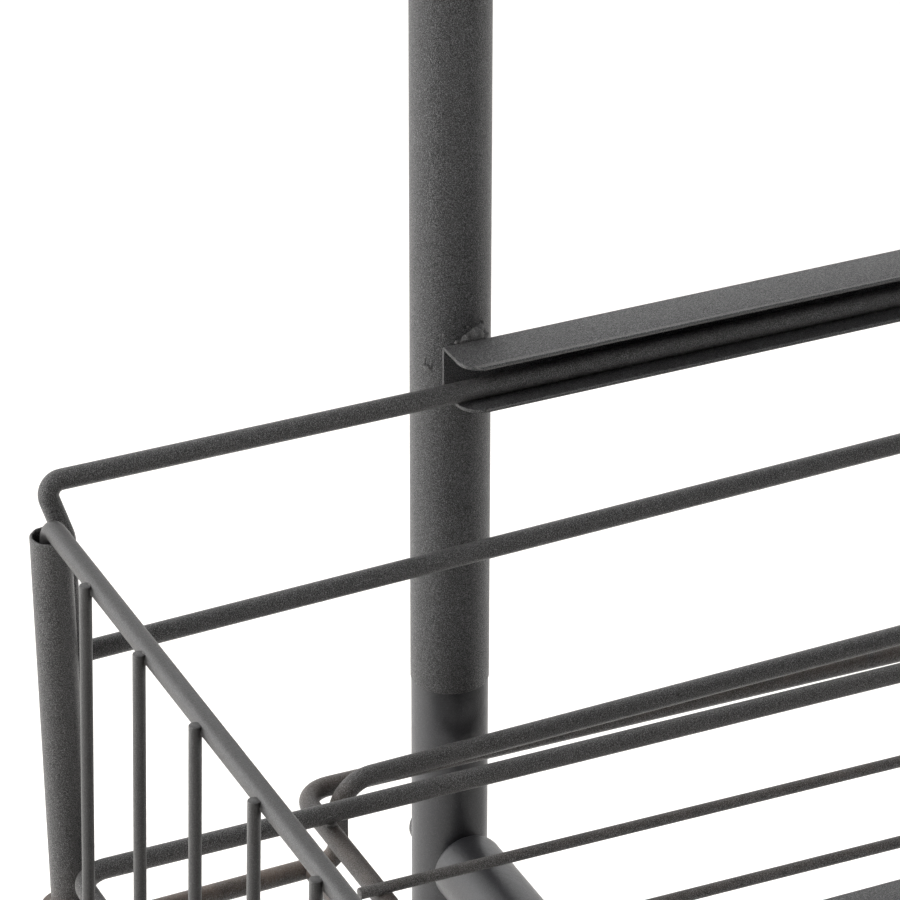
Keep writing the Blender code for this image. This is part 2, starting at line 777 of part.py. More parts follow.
clear_scene()
cart = new_collection("rolling_pantry_cart")
cutters = new_collection("cutters")
frame_black = new_material("frame_black", (0.045, 0.045, 0.047), 0.35, 0.55)
wire_black = new_material("wire_black", (0.035, 0.034, 0.034), 0.35, 0.6)
wheel_grey = new_material("wheel_grey", (0.06, 0.06, 0.062), 0.0, 0.7)
plug_black = new_material("plug_black", (0.02, 0.02, 0.02), 0.0, 0.5)
pedal_black = new_material("pedal_black", (0.02, 0.02, 0.022), 0.0, 0.45)
steel = new_material("steel", (0.55, 0.55, 0.56), 1.0, 0.35)

for side_name in SIDES:
    add_hoop(side_name)
    for level_name, rail_height in (("upper", UPPER_RAIL_Z), ("lower", LOWER_RAIL_Z)):
        add_rail(level_name, rail_height, side_name)
    for end_name in ENDS:
        add_leg(side_name, end_name)
        add_leg_plug(side_name, end_name)
        add_bolt(side_name, end_name)
        add_caster(side_name, end_name)
for end_name in ENDS:
    for level_name, cross_z in (("low", LOW_CROSS_Z), ("middle", MID_CROSS_Z), ("top", TOP_CROSS_Z)):
        add_cross_tube(level_name, cross_z, end_name)
add_basket("upper", UPPER_RAIL_Z, UPPER_PULL)
add_basket("lower", LOWER_RAIL_Z, 0.0)
add_shelf()
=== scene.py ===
"""The looks of the rolling pantry cart: smooth tubes, rods and wires with their welds, the rails, the
casters, a powder-coated finish, a pale floor, soft light and the camera."""

import math
import random

import bmesh
import bpy
from mathutils import Matrix, Vector, noise


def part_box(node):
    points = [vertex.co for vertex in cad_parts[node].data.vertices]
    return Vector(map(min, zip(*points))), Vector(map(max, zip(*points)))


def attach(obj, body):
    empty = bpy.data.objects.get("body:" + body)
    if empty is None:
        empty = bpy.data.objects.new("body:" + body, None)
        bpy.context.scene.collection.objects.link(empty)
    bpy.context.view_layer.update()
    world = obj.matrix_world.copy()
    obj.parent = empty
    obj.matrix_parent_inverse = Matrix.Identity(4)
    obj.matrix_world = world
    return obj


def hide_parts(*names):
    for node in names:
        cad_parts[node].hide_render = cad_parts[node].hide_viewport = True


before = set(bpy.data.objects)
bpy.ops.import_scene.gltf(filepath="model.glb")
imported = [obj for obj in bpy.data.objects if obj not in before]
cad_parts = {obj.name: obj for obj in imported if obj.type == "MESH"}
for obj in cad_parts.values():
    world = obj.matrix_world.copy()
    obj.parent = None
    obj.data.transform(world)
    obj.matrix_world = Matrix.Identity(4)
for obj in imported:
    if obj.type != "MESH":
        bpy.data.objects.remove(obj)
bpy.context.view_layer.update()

SIDES = {"left": -1, "right": 1}
ENDS = ("front", "back")
LEVELS = ("upper", "lower")

# Sizes of the real pieces, in metres
TUBE_WALL = 0.0012
RAIL_SHEET = 0.0012
RAIL_DEPTH = 0.0184
RAIL_CORNER = 0.0075
ROD_R = 0.00325
WIRE_R = 0.0019
SINK = 0.0007
ROD_SIDES = 24
WIRE_SIDES = 16
TUBE_SIDES = 96
BEND_STEPS = 12
X_AXIS = Vector((1, 0, 0))
Y_AXIS = Vector((0, 1, 0))
ACROSS = Matrix.Rotation(math.pi / 2, 4, "Y")


# ---------------------------------------------------------------- mesh helpers


def new_piece(name, mesh_builder, material, body, nodes=(), smooth_angle=40):
    """Turns a bmesh into an object with its finish and tells the frame what it stands for."""
    mesh = bpy.data.meshes.new(name)
    bmesh.ops.recalc_face_normals(mesh_builder, faces=mesh_builder.faces)
    mesh_builder.to_mesh(mesh)
    mesh_builder.free()
    piece = bpy.data.objects.new(name, mesh)
    bpy.context.scene.collection.objects.link(piece)
    piece.data.materials.append(material)
    piece.data.shade_smooth()
    piece.data.set_sharp_from_angle(angle=math.radians(smooth_angle))
    register(piece, body, nodes)
    return piece


def register(piece, body, nodes):
    """Tells the frame what a piece rides on and the CAD nodes it stands for."""
    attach(piece, body)
    if nodes:
        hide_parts(*nodes)


def round_corner(before, corner, after, radius, steps):
    """Points on the arc that rounds a corner."""
    to_before = (before - corner).normalized()
    to_after = (after - corner).normalized()
    half = to_before.angle(to_after) / 2
    tangent = radius / math.tan(half)
    middle = (to_before + to_after).normalized()
    centre = corner + middle * (radius / math.sin(half))
    start = corner + to_before * tangent - centre
    end = corner + to_after * tangent - centre
    sweep = start.angle(end)
    points = []
    for step in range(steps + 1):
        part = step / steps
        weights = math.sin((1 - part) * sweep), math.sin(part * sweep)
        points.append(centre + (start * weights[0] + end * weights[1]) / math.sin(sweep))
    return points


def rounded_path(corners, radii, steps=BEND_STEPS, cyclic=False):
    """A path through the corners, each rounded by its own radius."""
    corners = [Vector(corner) for corner in corners]
    count = len(corners)
    if not isinstance(radii, (list, tuple)):
        radii = [radii] * count
    path = []
    for index, corner in enumerate(corners):
        if not cyclic and index in (0, count - 1):
            path.append(corner)
            continue
        after = corners[(index + 1) % count]
        path += round_corner(corners[index - 1], corner, after, radii[index], steps)
    return path


def split_long(path, longest=0.02, cyclic=False):
    """Adds points along the straight stretches."""
    out = []
    pairs = list(zip(path, path[1:] + (path[:1] if cyclic else [])))
    for start, end in pairs:
        parts = max(1, math.ceil((end - start).length / longest))
        out += [start.lerp(end, part / parts) for part in range(parts)]
    if not cyclic:
        out.append(path[-1])
    return out


def ring(builder, centre, x_axis, y_axis, radius, sides):
    """The corners of one cross-section."""
    verts = []
    for side in range(sides):
        angle = 2 * math.pi * side / sides
        outward = math.cos(angle) * x_axis + math.sin(angle) * y_axis
        verts.append(builder.verts.new(centre + radius * outward))
    return verts


def bridge(builder, first, second):
    """Faces between two rings."""
    count = len(first)
    for index in range(count):
        after = (index + 1) % count
        builder.faces.new((first[index], first[after], second[after], second[index]))


def sweep(builder, path, radius, sides, cyclic=False, chamfer=0.0004):
    """A round bar along a path. Open ends are flat with a small rounded edge."""
    count = len(path)
    tangents = []
    for index in range(count):
        before = path[index - 1] if cyclic or index > 0 else path[index]
        after = path[(index + 1) % count] if cyclic or index < count - 1 else path[index]
        tangents.append((after - before).normalized())
    guess = Vector((0, 0, 1)) if abs(tangents[0].z) < 0.9 else Vector((1, 0, 0))
    x_axis = tangents[0].cross(guess).normalized()
    frames = []
    for index in range(count):
        if index:
            turn = tangents[index - 1].rotation_difference(tangents[index])
            x_axis = turn @ x_axis
        x_axis = (x_axis - tangents[index] * x_axis.dot(tangents[index])).normalized()
        frames.append((path[index], x_axis.copy(), tangents[index].cross(x_axis)))
    rings = []
    edge_r = radius - chamfer * 0.3
    if not cyclic:
        place, x_dir, y_dir = frames[0]
        rings.append(ring(builder, place, x_dir, y_dir, radius - chamfer, sides))
        rings.append(ring(builder, place + tangents[0] * chamfer * 0.4, x_dir, y_dir, edge_r, sides))
    for index, (place, x_dir, y_dir) in enumerate(frames):
        if not cyclic and index == 0:
            place = place + tangents[0] * chamfer
        if not cyclic and index == count - 1:
            place = place - tangents[-1] * chamfer
        rings.append(ring(builder, place, x_dir, y_dir, radius, sides))
    if not cyclic:
        place, x_dir, y_dir = frames[-1]
        rings.append(ring(builder, place - tangents[-1] * chamfer * 0.4, x_dir, y_dir, edge_r, sides))
        rings.append(ring(builder, place, x_dir, y_dir, radius - chamfer, sides))
    for first, second in zip(rings, rings[1:]):
        bridge(builder, first, second)
    if cyclic:
        # The first and last rings can be turned against each other, so the nearest corners are matched.
        first, last = rings[0], rings[-1]
        shift = min(range(sides), key=lambda s: (first[s].co - last[0].co).length)
        bridge(builder, last, first[shift:] + first[:shift])
    else:
        builder.faces.new(rings[0])
        builder.faces.new(rings[-1][::-1])


def turned(builder, profile, steps, matrix=None):
    """A turned shape about local Z from (radius, height) points. Ends on the axis close it."""
    rings = []
    for radius, height in profile:
        if radius <= 0:
            rings.append([builder.verts.new((0, 0, height))])
        else:
            rings.append(ring(builder, Vector((0, 0, height)), X_AXIS, Y_AXIS, radius, steps))
    pairs = list(zip(rings, rings[1:]))
    if profile[0][0] > 0:
        pairs.append((rings[-1], rings[0]))
    for first, second in pairs:
        if len(first) == 1 and len(second) == 1:
            continue
        if len(first) == 1:
            for index in range(steps):
                builder.faces.new((first[0], second[index], second[(index + 1) % steps]))
        elif len(second) == 1:
            for index in range(steps):
                builder.faces.new((second[0], first[(index + 1) % steps], first[index]))
        else:
            bridge(builder, first, second)
    if matrix is not None:
        verts = [vert for one in rings for vert in one]
        bmesh.ops.transform(builder, matrix=matrix, verts=verts)


def fillet(points, radius, steps=3):
    """Rounds the inner corners of a (radius, height) profile."""
    out = [points[0]]
    for before, corner, after in zip(points, points[1:], points[2:]):
        a, b, c = Vector(before), Vector(corner), Vector(after)
        room = min((a - b).length, (c - b).length) * 0.45
        angle = (a - b).angle(c - b)
        size = min(radius, room * math.tan(angle / 2))
        if angle > math.radians(175):
            out.append(tuple(b))
            continue
        flat = round_corner(a.to_3d(), b.to_3d(), c.to_3d(), size, steps)
        out += [(point.x, point.y) for point in flat]
    out.append(points[-1])
    return out


def blob(builder, centre, size, seed, rough=0.18, turn=None):
    """A small lump of weld metal."""
    made = bmesh.ops.create_icosphere(builder, subdivisions=2, radius=1)
    for vert in made["verts"]:
        shake = 1 + rough * noise.noise(vert.co * 1.7 + Vector((seed * 3.1, seed * 1.7, seed)))
        vert.co = Vector((vert.co.x * size[0], vert.co.y * size[1], vert.co.z * size[2])) * shake
        if turn is not None:
            vert.co = turn @ vert.co
        vert.co += centre


# ---------------------------------------------------------------- materials

# How many grains of the coat there are to a metre
GRAIN_SCALE = 3600
RUBBED = (0.16, 0.155, 0.15, 1)
# Pale brownish colour of the lowest rods: partly dust, partly a painted warm highlight
DUST_AND_SHEEN = (0.165, 0.120, 0.092, 1)
# Where the dust and the painted warm highlight lie, as (height above the floor in metres, amount), for the
# lower and the upper basket
DUST_AND_SHEEN_HEIGHTS = [
    (0.09, 1.0), (0.120, 1.0), (0.135, 0.0),
    (0.33, 0.0), (0.336, 1.0), (0.362, 1.0), (0.380, 0.0),
]


def powder_coat(name, colour, roughness, grain_depth, flecks, dust_and_sheen=False):
    """Fine-textured powder coat: grain, slow drift in colour and gloss, and paler rubbed edges."""
    made = bpy.data.materials.new(name)
    made.use_nodes = True
    nodes = made.node_tree.nodes
    links = made.node_tree.links
    shader = nodes["Principled BSDF"]
    place = nodes.new("ShaderNodeTexCoord")
    shape = nodes.new("ShaderNodeNewGeometry")

    def noise_node(scale, detail, rough=0.5):
        node = nodes.new("ShaderNodeTexNoise")
        node.inputs["Scale"].default_value = scale
        node.inputs["Detail"].default_value = detail
        node.inputs["Roughness"].default_value = rough
        links.new(place.outputs["Object"], node.inputs["Vector"])
        return node.outputs["Fac"]

    def ramp_node(source, stops):
        node = nodes.new("ShaderNodeValToRGB")
        ramp = node.color_ramp
        while len(ramp.elements) < len(stops):
            ramp.elements.new(0.5)
        for element, (position, value) in zip(ramp.elements, stops):
            element.position = position
            element.color = (*value, 1) if isinstance(value, tuple) else (value, value, value, 1)
        links.new(source, node.inputs["Fac"])
        return node.outputs["Color"]

    def mix_node(kind, first, second, factor):
        node = nodes.new("ShaderNodeMix")
        node.data_type = "RGBA"
        node.blend_type = kind
        for socket, value in (("A", first), ("B", second), ("Factor", factor)):
            if isinstance(value, (tuple, float)):
                node.inputs[socket].default_value = value
            else:
                links.new(value, node.inputs[socket])
        return node.outputs["Result"]

    def multiply(first, second):
        node = nodes.new("ShaderNodeMath")
        node.operation = "MULTIPLY"
        links.new(first, node.inputs[0])
        if isinstance(second, float):
            node.inputs[1].default_value = second
        else:
            links.new(second, node.inputs[1])
        return node.outputs["Value"]

    grain_noise = noise_node(GRAIN_SCALE, 1.0, 0.5)
    peel = noise_node(520, 2.0)
    drift = noise_node(24, 3.0)
    patches = noise_node(130, 4.0, 0.6)
    # Colour: the grain's tops are paler than its hollows, and the whole drifts slowly.
    dark = tuple(c * (1 - 0.45 * flecks) for c in colour)
    pale = tuple(c * (1 + 4 * flecks) for c in colour)
    tone = ramp_node(grain_noise, [(0.40, dark), (0.53, colour), (0.74, pale)])
    tone = mix_node("MULTIPLY", tone, ramp_node(drift, [(0.3, (0.72, 0.70, 0.68)), (0.7, 1.0)]), 0.6)
    tone = mix_node("MULTIPLY", tone, ramp_node(patches, [(0.35, 0.8), (0.65, 1.15)]), 0.5)
    if dust_and_sheen:
        # Pale brownish tone on the upper faces of each basket's lowest rods: partly dust, partly a painted
        # warm highlight.
        split = nodes.new("ShaderNodeSeparateXYZ")
        links.new(place.outputs["Object"], split.inputs["Vector"])
        lowest = ramp_node(split.outputs["Z"], DUST_AND_SHEEN_HEIGHTS)
        facing = nodes.new("ShaderNodeSeparateXYZ")
        links.new(shape.outputs["Normal"], facing.inputs["Vector"])
        faces_up = ramp_node(facing.outputs["Z"], [(0.0, 0.25), (0.8, 1.0)])
        dust_and_sheen_mask = multiply(multiply(lowest, faces_up), ramp_node(patches, [(0.3, 0.25), (0.62, 1.0)]))
        dust_and_sheen_mask = multiply(dust_and_sheen_mask, 0.8)
        tone = mix_node("MIX", tone, DUST_AND_SHEEN, dust_and_sheen_mask)
    # Rubbed edges.
    edge = nodes.new("ShaderNodeMapRange")
    edge.inputs["From Min"].default_value = 0.53
    edge.inputs["From Max"].default_value = 0.62
    edge.inputs["To Max"].default_value = 0.5
    links.new(shape.outputs["Pointiness"], edge.inputs["Value"])
    tone = mix_node("MIX", tone, RUBBED, edge.outputs["Result"])
    links.new(tone, shader.inputs["Base Color"])
    gloss = nodes.new("ShaderNodeMapRange")
    gloss.inputs["To Min"].default_value = roughness - 0.09
    gloss.inputs["To Max"].default_value = roughness + 0.09
    links.new(patches, gloss.inputs["Value"])
    links.new(gloss.outputs["Result"], shader.inputs["Roughness"])
    # The grain's hollows shine less than its tops.
    shine = nodes.new("ShaderNodeMapRange")
    shine.inputs["From Min"].default_value = 0.36
    shine.inputs["From Max"].default_value = 0.68
    shine.inputs["To Min"].default_value = 0.5 - 0.25 * min(flecks, 1)
    shine.inputs["To Max"].default_value = 0.5 + 0.5 * min(flecks, 1)
    links.new(grain_noise, shine.inputs["Value"])
    links.new(shine.outputs["Result"], shader.inputs["Specular IOR Level"])
    fine = nodes.new("ShaderNodeBump")
    fine.inputs["Strength"].default_value = 0.8
    fine.inputs["Distance"].default_value = grain_depth
    links.new(grain_noise, fine.inputs["Height"])
    broad = nodes.new("ShaderNodeBump")
    broad.inputs["Strength"].default_value = 0.25
    broad.inputs["Distance"].default_value = 0.0003
    links.new(peel, broad.inputs["Height"])
    links.new(fine.outputs["Normal"], broad.inputs["Normal"])
    links.new(broad.outputs["Normal"], shader.inputs["Normal"])
    return made


def moulded(name, colour, roughness, grain_scale, grain, metallic=0.0):
    """Moulded plastic or rubber, or plated steel: fine grain and scuffs."""
    made = bpy.data.materials.new(name)
    made.use_nodes = True
    nodes = made.node_tree.nodes
    links = made.node_tree.links
    shader = nodes["Principled BSDF"]
    place = nodes.new("ShaderNodeTexCoord")
    fine = nodes.new("ShaderNodeTexNoise")
    fine.inputs["Scale"].default_value = grain_scale
    fine.inputs["Detail"].default_value = 3
    scuff = nodes.new("ShaderNodeTexNoise")
    scuff.inputs["Scale"].default_value = 90
    scuff.inputs["Detail"].default_value = 5
    for node in (fine, scuff):
        links.new(place.outputs["Object"], node.inputs["Vector"])
    ramp = nodes.new("ShaderNodeValToRGB")
    ramp.color_ramp.elements[0].position = 0.35
    ramp.color_ramp.elements[1].position = 0.75
    ramp.color_ramp.elements[0].color = (*[c * 0.85 for c in colour], 1)
    ramp.color_ramp.elements[1].color = (*[c * 1.25 for c in colour], 1)
    links.new(scuff.outputs["Fac"], ramp.inputs["Fac"])
    links.new(ramp.outputs["Color"], shader.inputs["Base Color"])
    gloss = nodes.new("ShaderNodeMapRange")
    gloss.inputs["To Min"].default_value = roughness - 0.08
    gloss.inputs["To Max"].default_value = roughness + 0.1
    links.new(scuff.outputs["Fac"], gloss.inputs["Value"])
    links.new(gloss.outputs["Result"], shader.inputs["Roughness"])
    bump = nodes.new("ShaderNodeBump")
    bump.inputs["Strength"].default_value = grain
    bump.inputs["Distance"].default_value = 0.0002
    links.new(fine.outputs["Fac"], bump.inputs["Height"])
    links.new(bump.outputs["Normal"], shader.inputs["Normal"])
    shader.inputs["Metallic"].default_value = metallic
    return made


frame_black = powder_coat("frame_black", (0.026, 0.026, 0.027), 0.35, 0.0006, 1.1)
tube_black = powder_coat("tube_black", (0.032, 0.032, 0.035), 0.35, 0.00008, 0.15)
# The wire coats carry the dust and the painted warm highlight on their lowest rods.
wire_black = powder_coat("wire_black", (0.033, 0.032, 0.032), 0.36, 0.0005, 0.9, dust_and_sheen=True)
front_black = powder_coat("front_black", (0.033, 0.032, 0.032), 0.36, 0.00015, 0.25, dust_and_sheen=True)
wheel_grey = moulded("wheel_grey", (0.05, 0.05, 0.052), 0.6, 900, 0.25)
plug_black = moulded("plug_black", (0.018, 0.018, 0.018), 0.45, 1500, 0.2)
pedal_black = moulded("pedal_black", (0.02, 0.02, 0.021), 0.42, 1500, 0.2)
steel = moulded("steel", (0.55, 0.55, 0.56), 0.34, 1200, 0.12, metallic=1.0)


# ---------------------------------------------------------------- frame


def middle_of(node):
    low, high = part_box(node)
    return (low + high) / 2


post_place = {(end, side): middle_of(f"leg_{end}_{side}") for end in ENDS for side in SIDES}
hoop_low, hoop_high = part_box("hoop_left")
TUBE_R = (hoop_high.x - hoop_low.x) / 2
JOINT_Z = hoop_low.z
HOOP_TOP_Z = hoop_high.z - TUBE_R
HOOP_BEND = 0.040
leg_low, leg_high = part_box("leg_front_left")
LEG_R = (leg_high.x - leg_low.x) / 2


def make_hoop(side):
    front = post_place["front", side]
    back = post_place["back", side]
    corners = [
        (front.x, front.y, JOINT_Z),
        (front.x, front.y, HOOP_TOP_Z),
        (back.x, back.y, HOOP_TOP_Z),
        (back.x, back.y, JOINT_Z),
    ]
    path = split_long(rounded_path(corners, HOOP_BEND, 24), 0.012)
    builder = bmesh.new()
    sweep(builder, path, TUBE_R, TUBE_SIDES, chamfer=0.0003)
    new_piece(f"hoop_tube_{side}", builder, frame_black, "cart_frame", [f"hoop_{side}"])


def make_leg(end, side):
    place = post_place[end, side]
    # The swaged end of the leg comes up to the hoop tube with only a hairline between them.
    shoulder = JOINT_Z - 0.0001
    profile = [(0, shoulder + 0.002), (LEG_R - 0.0002, shoulder + 0.002)]
    profile += [(LEG_R - 0.0002, shoulder), (LEG_R, shoulder - 0.0012), (LEG_R, leg_low.z + 0.0004)]
    bore = LEG_R - TUBE_WALL
    profile += [
        (LEG_R - 0.0004, leg_low.z), (bore, leg_low.z),
        (bore, leg_low.z + 0.01), (0, leg_low.z + 0.01),
    ]
    builder = bmesh.new()
    turned(builder, profile, TUBE_SIDES, Matrix.Translation((place.x, place.y, 0)))
    node = f"leg_{end}_{side}"
    new_piece(f"leg_tube_{end}_{side}", builder, tube_black, "cart_frame", [node])


def make_cross_tube(level, end):
    """The welded tubes run into their posts. The bolted ones end square with a rounded edge."""
    node = f"cross_tube_{level}_{end}"
    low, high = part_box(node)
    middle = (low + high) / 2
    radius = (high.z - low.z) / 2
    post_x = post_place[end, "right"].x
    builder = bmesh.new()
    if level == "middle":
        reach = high.x
        profile = fillet([(0, reach), (radius, reach), (radius, -reach), (0, -reach)], 0.0022, 6)
        turned(builder, profile, TUBE_SIDES, Matrix.Translation((0, middle.y, middle.z)) @ ACROSS)
    else:
        reach = post_x - 0.3 * TUBE_R
        path = split_long([Vector((-reach, middle.y, middle.z)), Vector((reach, middle.y, middle.z))], 0.02)
        sweep(builder, path, radius, TUBE_SIDES)
    new_piece(f"cross_bar_{level}_{end}", builder, tube_black, "cart_frame", [node])


def saddle_bead(builder, place, sign, tube_r, post_r, thickness):
    """The bead of paint and weld where a cross tube meets a post."""
    path = []
    steps = 72
    for step in range(steps):
        angle = 2 * math.pi * step / steps
        y = tube_r * math.cos(angle)
        z = tube_r * math.sin(angle)
        x = math.sqrt(max(post_r * post_r - y * y, 0))
        path.append(place + Vector((-sign * x, y, z)))
    sweep(builder, path, thickness, 8, cyclic=True)


def make_saddles():
    builder = bmesh.new()
    for level in ("low", "top"):
        for end in ENDS:
            low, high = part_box(f"cross_tube_{level}_{end}")
            for side, sign in SIDES.items():
                post = post_place[end, side]
                place = Vector((post.x, post.y, (low.z + high.z) / 2))
                post_r = TUBE_R if level == "top" else LEG_R
                saddle_bead(builder, place, sign, (high.z - low.z) / 2, post_r, 0.0006)
    new_piece("cross_tube_beads", builder, frame_black, "cart_frame")


def rail_section():
    """The C section, as (distance from the post's side, height) points, with rounded bends."""
    top = 0.008
    inner = top - RAIL_SHEET
    outline = [
        (RAIL_DEPTH, -inner), (RAIL_SHEET, -inner), (RAIL_SHEET, inner), (RAIL_DEPTH, inner),
        (RAIL_DEPTH, top), (0, top), (0, -top), (RAIL_DEPTH, -top),
    ]
    radii = [0.00012, 0.0005, 0.0005, 0.00012, 0.00012, 0.0016, 0.0016, 0.00012]
    count = len(outline)
    points = []
    for index, corner in enumerate(outline):
        before = Vector(outline[index - 1]).to_3d()
        after = Vector(outline[(index + 1) % count]).to_3d()
        arc = round_corner(before, Vector(corner).to_3d(), after, radii[index], 4)
        points += [(point.x, point.y) for point in arc]
    return points


def make_rail(level, side):
    node = f"rail_{level}_{side}"
    low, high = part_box(node)
    sign = -SIDES[side]
    web_x = low.x if sign > 0 else high.x
    middle_z = (low.z + high.z) / 2
    section = rail_section()
    half = (high.y - low.y) / 2
    middle_y = (high.y + low.y) / 2
    builder = bmesh.new()
    shape = [Vector((web_x + sign * x, 0, middle_z + z)) for x, z in section]
    first = [builder.verts.new(point + Vector((0, middle_y - half - 0.001, 0))) for point in shape]
    last = [builder.verts.new(point + Vector((0, middle_y + half + 0.001, 0))) for point in shape]
    bridge(builder, first, last)
    builder.faces.new(first)
    builder.faces.new(last[::-1])
    name = f"rail_channel_{level}_{side}"
    piece = new_piece(name, builder, frame_black, "cart_frame", [node], 25)
    cutter = bmesh.new()
    # At each end the free edge of the flanges is cut back along a quarter circle.
    steps = 10
    plan = [(-0.003, -half)]
    for centre_y, first_angle in ((-half + RAIL_CORNER, -90), (half - RAIL_CORNER, 0)):
        for step in range(steps + 1):
            angle = math.radians(first_angle + 90 * step / steps)
            x = RAIL_DEPTH - RAIL_CORNER + RAIL_CORNER * math.cos(angle)
            plan.append((x, centre_y + RAIL_CORNER * math.sin(angle)))
    plan.append((-0.003, half))
    bottom = [cutter.verts.new((web_x + sign * x, middle_y + y, middle_z - 0.02)) for x, y in plan]
    top = [cutter.verts.new((web_x + sign * x, middle_y + y, middle_z + 0.02)) for x, y in plan]
    bridge(cutter, bottom, top)
    cutter.faces.new(bottom)
    cutter.faces.new(top[::-1])
    bmesh.ops.recalc_face_normals(cutter, faces=cutter.faces)
    mesh = bpy.data.meshes.new("rail_plan")
    cutter.to_mesh(mesh)
    cutter.free()
    tool = bpy.data.objects.new("rail_plan", mesh)
    bpy.context.scene.collection.objects.link(tool)
    cut = piece.modifiers.new("plan", "BOOLEAN")
    cut.operation = "INTERSECT"
    cut.object = tool
    apply_modifiers(piece)
    bpy.data.objects.remove(tool, do_unlink=True)
    edge = piece.modifiers.new("edge", "BEVEL")
    edge.width = 0.00018
    edge.segments = 2
    edge.limit_method = "ANGLE"
    edge.angle_limit = math.radians(50)
    apply_modifiers(piece)
    piece.data.shade_smooth()
    piece.data.set_sharp_from_angle(angle=math.radians(35))


def apply_modifiers(piece):
    bpy.context.view_layer.update()
    graph = bpy.context.evaluated_depsgraph_get()
    mesh = bpy.data.meshes.new_from_object(piece.evaluated_get(graph))
    piece.modifiers.clear()
    piece.data = mesh


# The lumps of each main tack: distance along the rail, height above it and radius
TACK_LUMPS = (
    (0.0000, 0.0000, 0.0021), (0.0026, 0.0010, 0.0029),
    (0.0040, 0.0026, 0.0017), (0.0056, 0.0000, 0.0020),
)


def make_rail_welds():
    """Weld beads between rails and posts, with a few specks of spatter on the post."""
    rng = random.Random(7)
    builder = bmesh.new()
    for level in LEVELS:
        for side, sign in SIDES.items():
            low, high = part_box(f"rail_{level}_{side}")
            radius = TUBE_R if level == "upper" else LEG_R
            for end in ENDS:
                post = post_place[end, side]
                for z in (low.z, high.z):
                    up = 1 if z > (low.z + high.z) / 2 else -1
                    for step in range(7):
                        y = (step - 3) * 0.0011
                        x = math.sqrt(radius * radius - y * y)
                        place = Vector((post.x - sign * (x + 0.0001), post.y + y, z - up * 0.0001))
                        blob(builder, place, (0.0009, 0.0009, 0.0006), rng.random() * 9, 0.3)
                # The main tack: a rough lump in the corner above the top flange.
                for y, z, size in TACK_LUMPS:
                    x = math.sqrt(radius * radius - y * y) - 0.2 * size
                    place = Vector((post.x - sign * x, post.y + (y if end == "front" else -y), high.z + z))
                    blob(builder, place, (0.8 * size, 1.2 * size, size), y * 900 + z, 0.25)
                for speck in range(7):
                    angle = rng.uniform(-0.75, 0.55)
                    z = high.z + rng.uniform(0.0008, 0.0065)
                    size = rng.uniform(0.0003, 0.00065)
                    x = post.x - sign * radius * math.cos(angle)
                    place = Vector((x, post.y + radius * math.sin(angle), z))
                    blob(builder, place, (size, size, size), speck + z, 0.25)
    new_piece("rail_welds", builder, frame_black, "cart_frame")


def make_post_mark():
    """A small run in the powder coat on each front post, beside the rail."""
    builder = bmesh.new()
    for side, sign in SIDES.items():
        post = post_place["front", side]
        low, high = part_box(f"rail_upper_{side}")
        angle = math.radians(-58)
        out = Vector((-sign * math.cos(angle), math.sin(angle), 0))
        place = Vector((post.x, post.y, (low.z + high.z) / 2 - 0.0022)) + out * (TUBE_R - 0.0001)
        turn = out.to_track_quat("X", "Z").to_matrix()
        blob(builder, place + out * 0.0002, (0.0008, 0.0015, 0.0007), 4.2, 0.2, turn)
        for along, rise, length in ((-0.0012, 0.0016, 0.0020), (0.0012, 0.0014, 0.0016)):
            across = turn @ Vector((0, along, rise))
            blob(builder, place + across, (0.00022, 0.0004, length), along * 900, 0.3, turn)
    new_piece("coating_runs", builder, frame_black, "cart_frame")


def make_bolt(end, side):
    node = f"cross_tube_bolt_{end}_{side}"
    low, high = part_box(node)
    sign = SIDES[side]
    outer = high.x if sign > 0 else -low.x
    middle = (low + high) / 2
    radius = (high.z - low.z) / 2
    depth = 0.0035
    shank = 0.0029
    profile = [(0, -0.0011), (0.0019, -0.0011), (0.0022, 0), (0.0052, 0), (radius - 0.0004, -0.0006)]
    tip = -depth - 0.012
    profile += [(radius, -0.0013), (radius, -depth), (shank, -depth), (shank, tip), (0, tip)]
    builder = bmesh.new()
    outward = Matrix.Rotation(sign * math.pi / 2, 4, "Y")
    turn = Matrix.Translation((sign * outer, middle.y, middle.z)) @ outward
    turned(builder, fillet(profile, 0.0003), 48, turn)
    new_piece(f"bolt_{end}_{side}", builder, frame_black, "cart_frame", [node])


# ---------------------------------------------------------------- baskets


SPACING_X = post_place["front", "right"].x - post_place["front", "left"].x
BASKET_LENGTH = 0.340
RIM_W = 0.0237
RIM_FRONT_U = -0.0052
CLOSED_FRONT_U = -0.014
RIM_H = -0.00325
SIDE_W = 0.029
UPRIGHT_TOP_H = -0.020
UPRIGHT_TOP_U = -0.0006
UPRIGHT_FOOT_U = 0.00125
MID_ROD_FRONT_H = -0.0611
MID_ROD_BACK_H = -0.0529
STEP_U = 0.0870
STEP_TOP_H = -0.1309
REAR_FLOOR_H = -0.1267
STEP_FOOT_H = -0.1598
FRONT_FLOOR_H = -0.1612
REAR_FLOOR_END_U = 0.326
RING_W = 0.0451
RING_FRONT_H = -0.1294
RING_BACK_H = -0.1310
RING_FRONT_U = -0.0075
BEARER_W = 0.020
BEARER_FRONT_U = 0.0776
BEARER_FRONT_H = -0.1371
BEARER_BACK_U = 0.324
BEARER_BACK_H = -0.1406
FRONT_ROD_U = -0.0078
FRONT_ROD_H = -0.0104
FRONT_ROD_END = 0.018
FRONT_ROD_BEND = 0.0058
FRONT_TILT = 0.0042
WIRE_OVERRUN = 0.0085
FLOOR_WIRE_OFFSETS = (0.0310, 0.0728, 0.1139)
FRONT_WIRES = 7
FRONT_WIRE_PITCH = 0.0418
FIRST_FRONT_WIRE_W = 0.0760
ROD_BEND = 0.010
WIRE_BEND = 0.006
